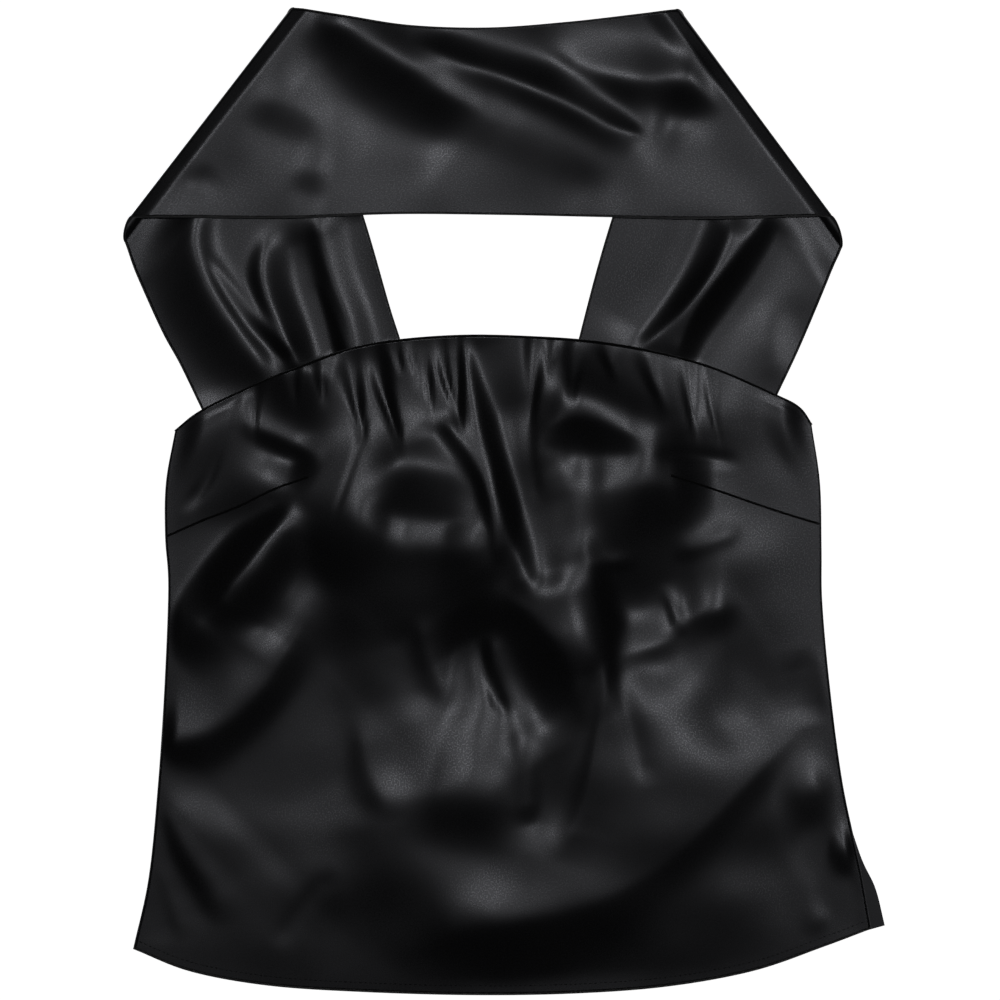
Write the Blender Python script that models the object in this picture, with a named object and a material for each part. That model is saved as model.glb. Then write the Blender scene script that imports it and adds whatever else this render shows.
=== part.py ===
"""Sleeveless black satin top with a wide off-the-shoulder band, laid flat face up.

Frame: metres, +Z up, +X to the right and +Y towards the band, seen from above.
The hem is at the low-Y end.  The origin is under the middle of the whole outline.
Three cloth walls: the gathered front panel, the plain back panel under it, and one
wide strip that leaves the body as two straps and crosses as the shoulder band.
Sizes, outlines and fold tables are in millimetres.
"""
import math
import bpy
import numpy as np

MM = 0.001

# Driving sizes
WALL = 1.2             # thickness of every cloth wall
SEAM_GAP = 0.3         # clear space between pieces where they meet
CLEAR = 0.2            # extra room where the front lies over a strap
FRONT_PUFF = 6.0       # how far the slack front stands off the back
TURN_RADIUS = 2.9      # bend of the strip where it turns back on itself
STRAP_LIFT = 1.5       # height at which a strap lies on the back panel
BACK_INSET = 3.0       # the back panel's edge lies this far inside the front's
SHIFT_X = -0.4         # brings the middle of the outline onto the origin
SHIFT_Y = -0.35
RUN_OUT = 60.0         # length past a fold's ends over which its line is carried on

FRONT_COLUMNS = 66     # spaces across the front panel
FRONT_ROWS = 36        # spaces from hem to top edge
STRAP_STOPS = [0.0, 0.045, 0.10, 0.16, 0.23, 0.30, 0.37, 0.44, 0.51, 0.58, 0.66, 0.74, 0.82, 0.90, 1.0]
TURN_STEPS = 5         # spaces round each turned end
BAND_STEPS = 38        # spaces along the crossing band
STRIP_ROWS = 16        # spaces across the strip

BLACK = (0.006, 0.006, 0.007, 1.0)

# Outlines: x and y of each point.  Each turned end has a line on the strap's side and
# one on the band's side, from its outer to its inner corner.
TOP_EDGE = [(-210, 46), (-193, 59), (-158, 76), (-133, 86), (-100, 98), (-68, 104), (-25, 107),
            (20, 106), (60, 103), (100, 96), (135, 86), (174, 69), (189, 61), (197, 50)]
LEFT_SIDE = [(-210, 46), (-216, 12), (-216.5, -22), (-214.5, -55), (-217, -120), (-221, -180),
             (-227, -240), (-237, -286)]
RIGHT_SIDE = [(197, 50), (202.5, 12), (203.5, -30), (204, -65), (209, -120), (217, -180),
              (228, -232), (235.5, -273)]
HEM = [(-237, -286), (-200, -300.5), (-150, -309.5), (-90, -313.5), (-20, -315.5), (45, -314.5),
       (105, -310), (160, -300), (205, -284.5), (235.5, -273)]
BACK_RIGHT = [(196, 40), (201, 5), (201, -60), (206, -120), (215, -180), (228, -225), (238, -247),
              (244, -271)]
BACK_HEM_END = [(244, -271), (235, -273.5), (222, -277)]
BAND_TOP = [(-128, 315.5), (-100, 311), (-60, 305), (-10, 303.5), (40, 307), (85, 312), (105, 314.5)]
BAND_BOTTOM = [(-231, 182), (-200, 182), (-140, 181.5), (-70, 184), (0, 183.5), (70, 182),
               (130, 181), (203, 182.8)]
LEFT_TURN = [(-245, 168), (-140, 308)]
LEFT_TURN_TOP = [(-240, 184), (-136, 318)]
RIGHT_TURN = [(219, 164), (117, 308)]
RIGHT_TURN_TOP = [(212, 184), (112.5, 317)]
LEFT_OUTER = [(-187, 48), (-193, 59), (-207, 88), (-219, 110), (-236, 148), (-244, 168)]
LEFT_INNER = [(-63, 92), (-66, 104), (-73, 126), (-88, 178), (-110, 245), (-131, 309)]
RIGHT_OUTER = [(170, 56), (175, 68), (190, 100), (208, 143), (213, 157), (217, 168)]
RIGHT_INNER = [(45, 92), (48, 104), (60, 150), (72, 190), (92, 252), (110, 311)]

# Folds
# name; softness of the crest and of the foot; share of the step that stands above the cloth
# about it; how far the high and the low level reach; length over which each end dies away;
# then x, y, half width and steepness along the slope.  The high side is on the left of travel.
FRONT_SLOPES = [
    ("bust_foot", .12, .45, .5, 42, 90, 70, 30,
     [(-130, -40, 37, .07), (-108, -48, 37, .09), (-88, -53, 31, .11), (-70, -57, 26, .12),
      (-45, -58, 26, .13), (-12, -62, 27, .12)]),
    ("bust_pocket", .2, .15, .5, 26, 40, 24, 36,
     [(-78, 8, 12, .10), (-60, 8, 14, .13), (-36, 4, 13, .13), (-18, -2, 7, .10)]),
    ("crest_side", .2, .4, .5, 12, 30, 20, 20,
     [(22, -55, 5, .18), (13, -28, 6, .22), (5, -2, 5.5, .24), (-2, 25, 5.5, .24), (-10, 52, 6, .24),
      (-17, 78, 4, .2), (-24, 104, 3, .14)]),
    ("crest_dip", .2, .5, .5, 9, 20, 14, 14,
     [(-42, 50, 4, .16), (-28, 31, 4.5, .2), (-15, 9, 3, .22), (-9, -12, 2.2, .2), (-6, -36, 2, .16)]),
    ("over_arch", .2, .6, .5, 30, 50, 50, 50,
     [(124, 62, 12, .11), (104, 68, 17, .14), (84, 77, 17, .16), (64, 84, 16, .17), (46, 86, 16, .17),
      (28, 84, 14, .14)]),
    ("under_arch", .12, .2, .5, 18, 36, 16, 16,
     [(27, 42, 6, .10), (45, 43, 11, .12), (62, 41, 10, .12), (84, 36, 5, .10)]),
    ("right_bust", .10, .2, .5, 34, 40, 18, 30,
     [(55, -28, 33, .07), (74, -30, 37, .09), (100, -27, 37, .09), (124, -24, 32, .08)]),
    ("right_step", .2, .5, .5, 20, 34, 30, 26,
     [(82, -102, 5, .08), (104, -96, 6, .11), (122, -82, 7, .12), (146, -73, 6, .12)]),
    ("right_patch", .6, .6, .5, 30, 40, 30, 30,
     [(118, -134, 8, .05), (140, -116, 12, .07), (166, -98, 12, .05)]),
    ("deep_hollow", .14, .4, .4, 48, 44, 26, 30,
     [(-6, -66, 10, .14), (6, -81, 13, .17), (20, -100, 15, .18), (32, -119, 15, .18), (41, -139, 10, .14)]),
    ("low_valley", .2, .9, .5, 24, 30, 20, 24,
     [(63, -106, 2.5, .16), (60, -126, 3.5, .18), (56, -150, 4, .18), (50, -174, 5.5, .16),
      (42, -198, 7, .14), (33, -219, 6, .09)]),
    ("belly_dip", .4, .5, .5, 40, 40, 30, 30,
     [(-62, -201, 11, .08), (-42, -203, 13, .11), (-18, -208, 13, .10), (5, -211, 11, .08)]),
    ("belly_crease", .4, .8, .5, 16, 26, 26, 20,
     [(-97, -146, 4, .06), (-93, -174, 5, .09), (-82, -198, 5, .09)]),
    ("short_crease", .3, .6, .5, 12, 22, 18, 22,
     [(-57, -80, 3, .12), (-54, -102, 5, .13), (-44, -128, 5, .09)]),
    ("diagonal_flank", .16, .5, .5, 28, 70, 50, 40,
     [(-46, -296, 11, .06), (-20, -290, 15, .09), (10, -287, 16, .11), (40, -280, 17, .11),
      (74, -264, 12, .10), (104, -242, 8, .09), (129, -219, 6, .10), (156, -190, 5, .09), (192, -150, 5, .06)]),
    ("side_flank", .18, .5, .5, 24, 70, 30, 40,
     [(-216, -168, 11, .13), (-190, -162, 11, .15), (-165, -147, 11, .15), (-145, -124, 10, .15),
      (-128, -98, 11, .14), (-116, -74, 12, .13)]),
    ("side_wedge", .2, .4, .5, 14, 26, 20, 20,
     [(-172, -78, 10, .10), (-160, -62, 15, .14), (-140, -32, 12, .14), (-130, -14, 5, .12)]),
    ("side_hollow", .25, .4, .6, 22, 20, 16, 30,
     [(-138, -1, 3, .14), (-150, -12, 6, .16), (-170, -32, 12, .16), (-194, -54, 14, .14),
      (-216, -76, 14, .12)]),
    ("hem_crease_a", .5, .4, .5, 14, 26, 20, 20,
     [(-220, -198, 2.5, .10), (-210, -224, 4, .13), (-198, -244, 5, .13), (-186, -266, 4, .07)]),
    ("hem_crease_b", .5, .4, .5, 10, 18, 16, 16,
     [(-223, -236, 2, .10), (-217, -256, 3, .12), (-211, -276, 3, .09)]),
    ("edge_dent", .5, .5, .5, 18, 18, 16, 16,
     [(199, -98, 5, .06), (203, -118, 7, .11), (207, -134, 6, .11)]),
    ("side_dent", .6, .6, .5, 22, 22, 20, 20,
     [(184, -206, 12, .08), (198, -204, 15, .12), (212, -200, 12, .10)]),
    ("corner_dent", .5, .5, .5, 18, 18, 18, 14,
     [(203, -238, 10, .10), (214, -239, 13, .18), (226, -238, 11, .16)]),
    ("hem_dent", .6, .6, .5, 14, 14, 16, 14, [(196, -278, 5, .06), (214, -272, 6, .10), (230, -266, 5, .08)]),
    ("shoulder_hollow", .3, .5, .5, 14, 30, 22, 26,
     [(-156, 72, 8, .08), (-140, 67, 16, .11), (-122, 63, 22, .12), (-104, 62, 15, .09)]),
    ("under_streak", .2, .3, .5, 10, 18, 24, 20, [(-163, 45, 4, .14), (-145, 36, 5, .18), (-124, 27, 4, .16)]),
]

# name, height (negative for a crease), width to the left and right of travel, points
FRONT_RIDGES = [
    ("belly_rise", 2.0, 90, 80,
     [(-100, -262), (-50, -272), (10, -266), (70, -246), (116, -212), (150, -176)]),
    ("sliver", -0.6, 5, 4.5, [(-15, -88), (-12, -106), (-5, -124), (0, -134)]),
    ("long_crest", 0.6, 9, 8, [(-10, -88), (0, -112), (8, -136), (14, -165), (16, -200)]),
    ("right_crease", -0.35, 7, 6, [(70, -84), (75, -118), (84, -150), (91, -176)]),
    ("right_crest", 2.0, 9, 34,
     [(27, 50), (33, 24), (41, -8), (49, -38), (57, -70), (63, -96)]),
    ("bright_sliver", 0.3, 6, 4, [(58, -39), (69, -39), (80, -38)]),
    ("bright_patch", 0.4, 9, 6, [(112, -31), (128, -27), (148, -19)]),
    ("small_crest", 0.5, 5, 4, [(105, -58), (109, -68), (113, -80)]),
    ("left_tuck", -0.65, 4.5, 3.5,
     [(-170, 70), (-179, 58), (-185, 38), (-190, 16), (-201, -1)]),
    ("dart_dent", -0.35, 5, 4, [(103, 30), (124, 29), (146, 26)]),
    ("centre_crease", -0.25, 4, 4, [(18, 108), (16, 72), (17, 40), (21, 4)]),
    ("press_line", -0.14, 1.8, 1.8, [(-86, 57), (-96, 25), (-107, -6)]),
    ("hem_line_a", -0.25, 7, 6, [(-112, -240), (-128, -258), (-143, -280)]),
]

# wave length, direction in degrees, lag, height
SWELL = [(150, 20, 0.4, 0.30), (118, 74, 2.1, 0.26), (93, 128, 4.0, 0.20), (71, 165, 1.2, 0.14),
         (57, 47, 5.2, 0.10), (43, 98, 3.3, 0.06)]

# x at the edge, length, half width, depth, sideways drift of the foot
GATHERS = [
    (-160, 30, 5, 0.9, 1), (-134, 20, 4, 0.8, 1), (-117, 24, 6, 1.2, 2), (-98, 48, 8, 1.7, 7),
    (-83, 54, 8, 2.1, 14), (-69, 16, 5, 0.9, 3), (-59, 24, 5, 1.0, 4), (-51, 40, 6, 1.1, 4),
    (-41, 44, 6, 1.7, 9), (-30, 52, 5, 1.5, 2), (22, 46, 7, 1.2, -4), (33, 20, 5, 0.9, -3),
    (46, 34, 9, 1.4, -2), (66, 18, 7, 1.0, 4), (92, 30, 8, 1.0, 9), (116, 40, 5, 0.7, 6),
    (130, 44, 4, 0.6, 8),
]

BAND_SLOPES = [
    ("under_ridge", .16, .5, .5, 20, 40, 24, 40,
     [(-122, 301, 8, .13), (-105, 290, 13, .15), (-85, 274, 15, .16), (-65, 261, 15, .16),
      (-45, 249, 13, .14), (-18, 240, 9, .07)]),
    ("under_tail", .5, .6, .5, 20, 30, 30, 24,
     [(-22, 236, 8, .05), (10, 228, 9, .07), (40, 217, 8, .06), (62, 207, 6, .05)]),
    ("over_ridge", .18, .3, .5, 12, 24, 14, 26,
     [(88, 237, 2.5, .14), (72, 246, 6.5, .18), (52, 259, 8, .19), (30, 271, 9, .19), (5, 281, 9, .18),
      (-20, 289, 9, .16), (-48, 297, 6, .12)]),
    ("upper_dark", .2, .4, .5, 16, 26, 34, 34,
     [(112, 279, 5, .09), (86, 282, 8, .12), (60, 288, 8, .13), (34, 297, 6, .11)]),
    ("end_dark", .3, .4, .5, 20, 26, 24, 24, [(102, 262, 8, .10), (115, 257, 10, .13), (131, 251, 5, .10)]),
    ("left_dip", .5, .5, .5, 16, 20, 20, 20,
     [(-160, 249, 6, .06), (-140, 244, 8, .08), (-120, 237, 6, .05)]),
    ("low_dip", .5, .5, .5, 14, 14, 16, 16, [(-134, 206, 5, .05), (-116, 203, 6, .07)]),
    ("end_dip", .5, .5, .5, 12, 14, 14, 14, [(-206, 208, 6, .07), (-194, 217, 6, .07)]),
]
STRAP_SLOPES = [
    ("outer_dark", .14, .8, .5, 12, 60, 24, 30,
     [(-212, 186, 13, .10), (-213, 160, 14, .13), (-205, 134, 15, .14), (-190, 108, 16, .14),
      (-172, 86, 13, .13), (-160, 70, 9, .08)]),
    ("first_dip", .3, .3, .5, 6, 10, 14, 14,
     [(-187, 152, 1.5, .12), (-172, 130, 3, .16), (-158, 112, 3.5, .18), (-138, 93, 2.5, .16)]),
    ("mid_dark", .16, .3, .5, 8, 22, 14, 20,
     [(-124, 86, 6, .17), (-131, 108, 8, .18), (-140, 132, 10, .17), (-144, 150, 10, .15),
      (-144, 170, 7, .10)]),
    ("third_dip", .3, .3, .5, 6, 10, 14, 14,
     [(-118, 138, 1.5, .12), (-111, 116, 3, .16), (-104, 92, 3.5, .16)]),
    ("inner_dark", .2, .3, .5, 8, 20, 20, 20,
     [(-84, 88, 7, .13), (-91, 118, 7, .14), (-103, 150, 8, .13), (-110, 184, 9, .11)]),
    ("right_rise", .16, .3, .5, 10, 24, 20, 20,
     [(140, 184, 9, .15), (125, 150, 8, .17), (109, 126, 6, .18), (86, 100, 3.5, .16)]),
    ("right_fall", .16, .3, .5, 10, 24, 20, 20,
     [(114, 88, 6, .15), (125, 110, 7, .17), (138, 129, 8, .17), (155, 152, 7, .17), (175, 184, 6, .15)]),
    ("right_dip", .6, .6, .5, 14, 20, 20, 20, [(186, 82, 6, .05), (180, 104, 7, .06), (176, 124, 6, .04)]),
]


def smooth(t):
    """Ease from 0 to 1 with level ends."""
    t = np.clip(t, 0.0, 1.0)
    return t * t * (3.0 - 2.0 * t)


def curve(points, steps=8):
    """A smooth line through the points."""
    p = np.array(points, float)
    p = np.vstack([2 * p[0] - p[1], p, 2 * p[-1] - p[-2]])
    out = []
    for i in range(1, len(p) - 2):
        for t in np.linspace(0, 1, steps, endpoint=False):
            a = 2 * p[i]
            b = p[i + 1] - p[i - 1]
            c = 2 * p[i - 1] - 5 * p[i] + 4 * p[i + 1] - p[i + 2]
            d = 3 * p[i] - p[i - 1] - 3 * p[i + 1] + p[i + 2]
            out.append((a + b * t + c * t * t + d * t ** 3) / 2)
    out.append(p[-2])
    return np.array(out)


def along(points, fractions):
    """Points at the given fractions of the smooth line's length."""
    c = curve(points)
    run = np.concatenate([[0], np.cumsum(np.hypot(*np.diff(c, axis=0).T))])
    run /= run[-1]
    return np.stack([np.interp(fractions, run, c[:, k]) for k in (0, 1)], axis=-1)


def fold_frame(x, y, points):
    """Distance along and across a fold line, and the line's own points and length."""
    p = np.array(points, float)
    length = math.hypot(*(p[-1] - p[0]))
    e = (p[-1] - p[0]) / length
    n = np.array([-e[1], e[0]])
    u = (x - p[0][0]) * e[0] + (y - p[0][1]) * e[1]
    v = (x - p[0][0]) * n[0] + (y - p[0][1]) * n[1]
    c = curve(points)
    cu = (c - p[0]) @ e
    cv = (c - p[0]) @ n
    start = (cv[4] - cv[0]) / (cu[4] - cu[0])
    end = (cv[-1] - cv[-5]) / (cu[-1] - cu[-5])
    steps = np.arange(-RUN_OUT, length + RUN_OUT, 1.0)
    middle = np.interp(steps, cu, cv) + 0.6 * (np.minimum(steps, 0) * start
                                               + np.maximum(steps - length, 0) * end)
    middle = even_out(middle)
    lean = np.interp(u, steps, np.gradient(middle))
    across = (v - np.interp(u, steps, middle)) / np.sqrt(1 + lean ** 2)
    return u, across, (p - p[0]) @ e, length


def even_out(values, reach=9):
    """A running mean that rounds the corners of a list of evenly spaced values."""
    weight = np.hanning(2 * reach + 3)[1:-1]
    padded = np.pad(values, reach, mode="reflect", reflect_type="odd")
    return np.convolve(padded, weight / weight.sum(), mode="valid")


def read_along(u, stops, values, length):
    """Values given at stops along a fold, rounded where they change."""
    steps = np.arange(-RUN_OUT, length + RUN_OUT, 1.0)
    return np.interp(u, steps, even_out(np.interp(steps, stops, values)))


def fade(u, length, start, end):
    """One along the fold, easing out past both its ends."""
    return smooth(0.5 + u / start) * smooth(0.5 + (length - u) / end)


def softplus(t):
    """Zero for low t, t for high t, with a rounded corner between."""
    return np.logaddexp(0, np.clip(t, -60, 60))


def slope_height(x, y, row):
    """A slope between two levels, its crest and its foot rounded by their own softness."""
    name, crest, foot, share, high, low, start, end, line = row
    u, across, stops, length = fold_frame(x, y, [p[:2] for p in line])
    width = read_along(u, stops, [p[2] for p in line], length)
    steep = read_along(u, stops, [p[3] for p in line], length)
    t = across / width
    ramp = foot * softplus((t + 1) / foot) - crest * softplus((t - 1) / crest) - 2 * (1 - share)
    beyond = np.maximum(np.abs(across) - width, 0)
    reach = np.where(across > 0, high, low)
    return steep * width * ramp * np.exp(-(beyond / reach) ** 2) * fade(u, length, start, end)


def ridge_height(x, y, row, end=None):
    """A rounded crest, or a crease where the height is negative."""
    name, height, left, right, points = row
    u, across, stops, length = fold_frame(x, y, points)
    width = np.where(across > 0, left, right)
    end = end or max(16, 22 * abs(height), left)
    profile = np.exp(-(across / width) ** 2)
    return height * profile * fade(u, length, end, end)


def folds(x, y, slopes, ridges=()):
    """The sum of the slopes and ridges in the tables."""
    z = np.zeros(np.shape(x))
    for row in slopes:
        z = z + slope_height(x, y, row)
    for row in ridges:
        z = z + ridge_height(x, y, row)
    return z


def keep_above(z, level, soft=0.8):
    """Lift z smoothly so that it never goes below the level."""
    return level + soft * softplus((z - level) / soft)


def sides(x, y):
    """Distances to the left side, right side, hem and top edge of the front."""
    left, right, hem, top = (curve(c) for c in (LEFT_SIDE, RIGHT_SIDE, HEM, TOP_EDGE))
    return (x - np.interp(-y, -left[:, 1], left[:, 0]), np.interp(-y, -right[:, 1], right[:, 0]) - x,
            y - np.interp(x, hem[:, 0], hem[:, 1]), np.interp(x, top[:, 0], top[:, 1]) - y)


def swell(x, y):
    """Slow unevenness of slack cloth: a few long waves that cross at odd angles."""
    z = np.zeros(np.shape(x))
    for length, turn, lag, height in SWELL:
        a = math.radians(turn)
        z = z + height * np.sin(2 * math.pi * (x * math.cos(a) + y * math.sin(a)) / length + lag)
    return z


def front_height(x, y):
    """Middle surface of the front panel."""
    to_left, to_right, to_hem, to_top = sides(x, y)
    z = folds(x, y, FRONT_SLOPES, FRONT_RIDGES)
    for edge_x, length, width, depth, drift in GATHERS:
        edge_y = 107 - 0.00128 * (edge_x + 5) ** 2
        line = [(edge_x, edge_y + 8), (edge_x + 0.35 * drift, edge_y - 0.45 * length),
                (edge_x + drift, edge_y - length)]
        taper = width * (0.35 + 0.65 * smooth(1 - to_top / length))
        z = z + ridge_height(x, y, ("gather", -0.6 * depth, taper, taper, line), 0.8 * length)
    z = z * smooth(0.2 + to_left / 12) * smooth(0.2 + to_right / 12) * smooth(0.2 + to_hem / 20)
    across = np.clip(to_left / (to_left + to_right), 0, 1)
    up = np.clip(to_hem / (to_hem + to_top), 0, 1)
    z = z + FRONT_PUFF * np.sin(math.pi * across) * (1 - (1 - up) ** 3)
    z = z + swell(x, y) * smooth(to_left / 60) * smooth(to_right / 60) * smooth(to_hem / 60)
    lowest = 1.5 * WALL + SEAM_GAP
    over = WALL + SEAM_GAP + CLEAR
    near = smooth(to_left / 20) * smooth(to_right / 20) * smooth((64 - to_top) / 50)
    strap = strap_height(x, y, np.full(np.shape(x), 60.0)) - lowest
    level = lowest + (over + np.maximum(strap, 0)) * near
    return keep_above(lowest + z, level, 0.25)


def strap_height(x, y, from_turn):
    """Middle surface of either strap."""
    to_top = sides(x, y)[3]
    z = folds(x, y, STRAP_SLOPES)
    z = z * smooth(from_turn / 34) * smooth((212 - y) / 26)
    lift = STRAP_LIFT * smooth(from_turn / 26)
    floor = -lift * (1 - smooth(to_top / 7))
    return WALL / 2 + lift + keep_above(z, floor + 0.1, 0.25) - 0.1 * smooth(1 - from_turn / 26)


def band_height(x, y, from_turn):
    """Middle surface of the crossing band."""
    z = folds(x, y, BAND_SLOPES) * smooth(from_turn / 20)
    sag = 1.2 * smooth((x + 105) / 60) * smooth((88 - x) / 60)
    level = WALL / 2 + 2 * TURN_RADIUS + 0.7 * smooth(from_turn / 12)
    z = z + 0.7 * swell(x + 40, y) * smooth(from_turn / 40)
    return keep_above(level - sag * smooth(from_turn / 30) + z, 4.2, 0.5)


def coons(bottom, top, left, right, u, v):
    """A flat sheet of points inside four edges."""
    low, high = along(bottom, u), along(top, u)
    near, far = along(left, v), along(right, v)
    uu, vv = (m[..., None] for m in np.meshgrid(u, v))
    corners = ((1 - uu) * (1 - vv) * low[0] + uu * (1 - vv) * low[-1]
               + (1 - uu) * vv * high[0] + uu * vv * high[-1])
    return ((1 - vv) * low[None] + vv * high[None] + (1 - uu) * near[:, None]
            + uu * far[:, None] - corners)


def inward_from(line, side):
    """The level direction from a turned end into the cloth."""
    e = np.array(line[-1], float) - np.array(line[0], float)
    e /= math.hypot(*e)
    return np.array([e[1], -e[0]]) if side == "left" else np.array([-e[1], e[0]])


def strap_and_turn(side, stops, turn_steps, w):
    """Rows of middle-surface points from a strap's tucked end, up it and round its turn."""
    outer_line, inner_line, turn, top = ((LEFT_OUTER, LEFT_INNER, LEFT_TURN, LEFT_TURN_TOP)
                                         if side == "left" else
                                         (RIGHT_OUTER, RIGHT_INNER, RIGHT_TURN, RIGHT_TURN_TOP))
    turn, top = np.array(turn, float), np.array(top, float)
    inward = inward_from(turn, side)
    start = turn + inward * (TURN_RADIUS + WALL / 2)
    ends = np.stack([along(outer_line, stops), along(inner_line, stops)])
    rows = []
    for k in range(len(stops) - 1):
        late = smooth((stops[k] - 0.80) / 0.20)
        a, b = ends[:, k] + late * (start - ends[:, -1])
        flat = a + (b - a) * w
        clear = np.maximum((flat - turn[0]) @ inward - TURN_RADIUS, 0)
        rows.append(np.column_stack([flat, strap_height(flat[:, 0], flat[:, 1], clear)]))
    for k in range(turn_steps + 1):
        angle = math.pi * k / turn_steps
        risen = (1 - math.cos(angle)) / 2
        a, b = turn + risen * (top - turn) + inward * (TURN_RADIUS * (1 - math.sin(angle)) + WALL / 2)
        rows.append(np.column_stack([a + (b - a) * w, np.full(len(w), WALL / 2 + 2 * TURN_RADIUS * risen)]))
    return rows


def strip_grid(stops, turn_steps, band_steps, across):
    """The whole strip: left strap, its turn, the band, the right turn and the right strap."""
    w = np.linspace(0, 1, across + 1)[:, None]
    left = strap_and_turn("left", stops, turn_steps, w)
    right = strap_and_turn("right", stops, turn_steps, w)
    t = np.linspace(0, 1, band_steps + 1)
    band = []
    for low, high in zip(along(BAND_BOTTOM, t), along(BAND_TOP, t)):
        flat = low + (high - low) * w
        clear = [(flat - rows[-1][0, :2]) @ inward_from(rows[-1][:, :2], side)
                 for rows, side in ((left, "left"), (right, "right"))]
        clear = np.maximum(np.minimum(*clear), 0)
        band.append(np.column_stack([flat, band_height(flat[:, 0], flat[:, 1], clear)]))
    return np.array(left + band + right[::-1]).transpose(1, 0, 2)


def cloth_wall(name, grid):
    """A closed cloth wall, WALL thick, about a grid of middle-surface points."""
    rows, columns = grid.shape[:2]
    normal = np.cross(np.gradient(grid, axis=1), np.gradient(grid, axis=0))
    normal /= np.linalg.norm(normal, axis=2, keepdims=True)
    half = WALL / 2
    verts = np.concatenate([(grid + half * normal).reshape(-1, 3), (grid - half * normal).reshape(-1, 3)])
    count = rows * columns
    faces = []
    for j in range(rows - 1):
        for i in range(columns - 1):
            a = j * columns + i
            b = a + columns
            faces.append((a, a + 1, b + 1, b))
            faces.append((a + count, b + count, b + 1 + count, a + 1 + count))
    rim = list(range(columns))
    rim += [j * columns + columns - 1 for j in range(1, rows)]
    rim += [(rows - 1) * columns + i for i in range(columns - 2, -1, -1)]
    rim += [j * columns for j in range(rows - 2, 0, -1)]
    for a, b in zip(rim, rim[1:] + rim[:1]):
        faces.append((b, a, a + count, b + count))
    return add_solid(name, verts, faces)


def add_solid(name, verts, faces):
    """Put a mesh in the scene with its own black cloth material."""
    verts = (np.array(verts) + (SHIFT_X, SHIFT_Y, 0)) * MM
    mesh = bpy.data.meshes.new(name)
    mesh.from_pydata(verts.tolist(), [], faces)
    mesh.validate()
    mesh.shade_smooth()
    mesh.set_sharp_from_angle(angle=math.radians(50))
    obj = bpy.data.objects.new(name, mesh)
    bpy.context.scene.collection.objects.link(obj)
    material = bpy.data.materials.new(name + "_satin")
    material.use_nodes = True
    shader = material.node_tree.nodes["Principled BSDF"]
    shader.inputs["Base Color"].default_value = BLACK
    shader.inputs["Roughness"].default_value = 0.35
    mesh.materials.append(material)
    return obj


def front_panel():
    """The gathered front: one grid from hem to top edge, its rows closer near the gathers."""
    u = np.linspace(0, 1, FRONT_COLUMNS + 1)
    v = np.linspace(0, 1, FRONT_ROWS + 1)
    v = v + 0.11 * np.sin(math.pi * v) * v
    flat = coons(HEM, TOP_EDGE, LEFT_SIDE[::-1], RIGHT_SIDE[::-1], u, v)
    return cloth_wall("front_panel", np.dstack([flat, front_height(flat[..., 0], flat[..., 1])]))


def back_panel():
    """The plain back, lying on the ground; its lower right corner shows."""
    left = along(LEFT_SIDE, np.linspace(0.03, 1, 12)) + (BACK_INSET, 0)
    hem = along(HEM, np.linspace(0.02, 0.94, 20)) + (0, 2.0)
    right = along(BACK_RIGHT, np.linspace(1, 0, 14))[1:]
    top = along(TOP_EDGE, np.linspace(0.96, 0.03, 18)) - (0, 9.0)
    ring = np.vstack([left, hem, BACK_HEM_END[::-1], right, top])
    count = len(ring)
    low = np.column_stack([ring, np.zeros(count)])
    high = np.column_stack([ring, np.full(count, WALL)])
    faces = [tuple(range(count))[::-1], tuple(range(count, 2 * count))]
    for a in range(count):
        b = (a + 1) % count
        faces.append((a, b, b + count, a + count))
    return add_solid("back_panel", np.vstack([low, high]), faces)


def shoulder_band():
    """One strip: left strap, turned forward, across, turned back, right strap."""
    return cloth_wall("shoulder_band", strip_grid(STRAP_STOPS, TURN_STEPS, BAND_STEPS, STRIP_ROWS))


for obj in list(bpy.context.scene.objects):
    bpy.data.objects.remove(obj)
front_panel()
back_panel()
shoulder_band()
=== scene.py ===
# %% [markdown]
# # A black satin top, laid flat
# The garment is one gathered front, one plain back and one wide strip that makes both straps
# and the band that crosses between them.  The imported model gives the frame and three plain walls.
# Three sheets of satin with finer folds take their places, and edges, seams, darts and stitches
# are laid on them.

# %% Load the frame
import math

import bmesh
import bpy
import numpy as np
from mathutils import Matrix, Vector


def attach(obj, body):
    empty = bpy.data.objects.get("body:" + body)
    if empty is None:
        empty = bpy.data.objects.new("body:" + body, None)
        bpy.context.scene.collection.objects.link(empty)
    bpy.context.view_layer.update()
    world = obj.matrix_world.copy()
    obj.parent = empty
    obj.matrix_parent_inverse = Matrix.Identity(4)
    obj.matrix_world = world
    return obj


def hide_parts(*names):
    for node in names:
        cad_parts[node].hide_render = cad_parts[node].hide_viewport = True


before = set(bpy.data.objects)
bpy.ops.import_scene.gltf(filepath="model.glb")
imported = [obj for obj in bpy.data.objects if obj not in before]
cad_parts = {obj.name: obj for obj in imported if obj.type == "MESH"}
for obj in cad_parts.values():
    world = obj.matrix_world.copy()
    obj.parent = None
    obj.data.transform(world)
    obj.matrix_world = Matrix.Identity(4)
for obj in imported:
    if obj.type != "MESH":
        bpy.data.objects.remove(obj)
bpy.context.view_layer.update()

print("nodes:", sorted(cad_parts))

# %% [markdown]
# ## Camera and light
# Satin shows its folds by what it mirrors.  The photo was taken from straight above, and the cloth
# is brightest just above each fall of the cloth and dark on the falls, so two soft lamps stand
# close beside the camera, both a little up the picture, and the rest of the room stays dark.  A
# lamp from the side would light one flank of each fold only, which the photo doesn't show.

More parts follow.
